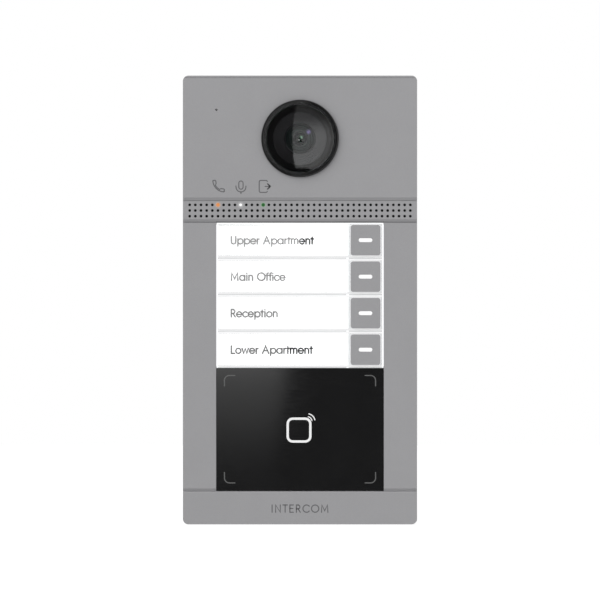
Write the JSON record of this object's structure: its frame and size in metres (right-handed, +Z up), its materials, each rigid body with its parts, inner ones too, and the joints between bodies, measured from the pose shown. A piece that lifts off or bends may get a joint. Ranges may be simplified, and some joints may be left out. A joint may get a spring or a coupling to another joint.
{
  "type": "door intercom panel",
  "caption": "Wall-mounted door intercom panel with a domed camera, a perforated loudspeaker strip, call buttons beside lit name windows, and a contactless card reader.",
  "frame": {"origin": "centre of the wall plate's four screw holes, on the wall plane", "axes": "+Z up, +Y into the wall, +X to the right as seen from the front"},
  "size_m": [0.119, 0.0395, 0.228],
  "materials": {
    "silver_casing": "satin silver-grey powder coat",
    "silver_keys": "satin silver-grey coat",
    "black_moulding": "fine moulded texture",
    "black_gloss": "polished",
    "dome_clear": "polished, lightly smoked",
    "infrared_filter": "polished, dark tint",
    "lens_glass": "coated optical glass",
    "name_window_clear": "polished clear",
    "reader_gloss": "polished black",
    "white_moulding": "satin white",
    "white_card": "matt printed card",
    "light_bar": "lit white",
    "light_orange": "lit orange",
    "light_white": "lit white",
    "light_green": "lit green",
    "zinc_steel": "zinc-plated",
    "screw_steel": "plated",
    "spring_steel": "drawn wire",
    "black_rubber": "matt",
    "grey_rubber": "matt silicone",
    "acoustic_cloth": "woven",
    "speaker_cone": "film",
    "magnet_black": "coated",
    "circuit_board": "green solder mask",
    "copper": "copper track under varnish",
    "sensor_glass": "polished",
    "green_terminal": "moulded",
    "led_package": "moulded"
  },
  "bodies": {
    "root": {"wall_plate": "zinc_steel", "lock_screw": "screw_steel", "rear_cover": "black_moulding", "case_gasket": "black_rubber", "case_screws": "screw_steel", "front_casing": "silver_casing", "bottom_trim": "silver_casing", "speaker_grille": "silver_casing", "grille_cloth": "acoustic_cloth", "loudspeaker_frame": "black_moulding", "loudspeaker_cone": "speaker_cone", "loudspeaker_magnet": "magnet_black", "camera_bezel": "black_gloss", "camera_dome": "dome_clear", "camera_seal": "black_rubber", "camera_lock_ring": "black_moulding", "camera_shroud": "black_moulding", "infrared_window": "infrared_filter", "infrared_board": "circuit_board", "lens_barrel": "black_moulding", "front_lens": "lens_glass", "lens_holder": "black_moulding", "image_sensor": "sensor_glass", "camera_board": "circuit_board", "microphone": "screw_steel", "microphone_boot": "black_rubber", "indicator_board": "circuit_board", "board_leds": "led_package", "call_light_guide": "light_orange", "talk_light_guide": "light_white", "unlock_light_guide": "light_green", "name_panel": "white_moulding", "name_cards": "white_card", "name_window_1": "name_window_clear", "name_window_2": "name_window_clear", "name_window_3": "name_window_clear", "name_window_4": "name_window_clear", "keypad_board": "circuit_board", "key_switches": "black_moulding", "keypad_mat": "grey_rubber", "board_screws": "screw_steel", "panel_tape": "black_rubber", "reader_window": "reader_gloss", "antenna_board": "circuit_board", "antenna_coil": "copper", "main_board": "circuit_board", "network_jack": "screw_steel", "terminal_sockets": "green_terminal", "terminal_plugs": "green_terminal", "tamper_switch": "black_moulding", "tamper_spring": "spring_steel"},
    "call_button_1": {"call_button_1": "silver_keys", "button_light_bar_1": "light_bar"},
    "call_button_2": {"call_button_2": "silver_keys", "button_light_bar_2": "light_bar"},
    "call_button_3": {"call_button_3": "silver_keys", "button_light_bar_3": "light_bar"},
    "call_button_4": {"call_button_4": "silver_keys", "button_light_bar_4": "light_bar"},
    "tamper_plunger": {"tamper_plunger": "white_moulding"}
  },
  "joints": [
    {"name": "call_button_1_press", "type": "slide", "parent": "root", "child": "call_button_1", "axis": [0, 1, 0], "range_m": [0, 0.0008], "stiffness_N_per_m": 1500},
    {"name": "call_button_2_press", "type": "slide", "parent": "root", "child": "call_button_2", "axis": [0, 1, 0], "range_m": [0, 0.0008], "stiffness_N_per_m": 1500},
    {"name": "call_button_3_press", "type": "slide", "parent": "root", "child": "call_button_3", "axis": [0, 1, 0], "range_m": [0, 0.0008], "stiffness_N_per_m": 1500},
    {"name": "call_button_4_press", "type": "slide", "parent": "root", "child": "call_button_4", "axis": [0, 1, 0], "range_m": [0, 0.0008], "stiffness_N_per_m": 1500},
    {"name": "tamper_release", "type": "slide", "parent": "root", "child": "tamper_plunger", "axis": [0, 1, 0], "range_m": [0, 0.0015], "stiffness_N_per_m": 250, "deforming": ["tamper_spring"]}
  ]
}
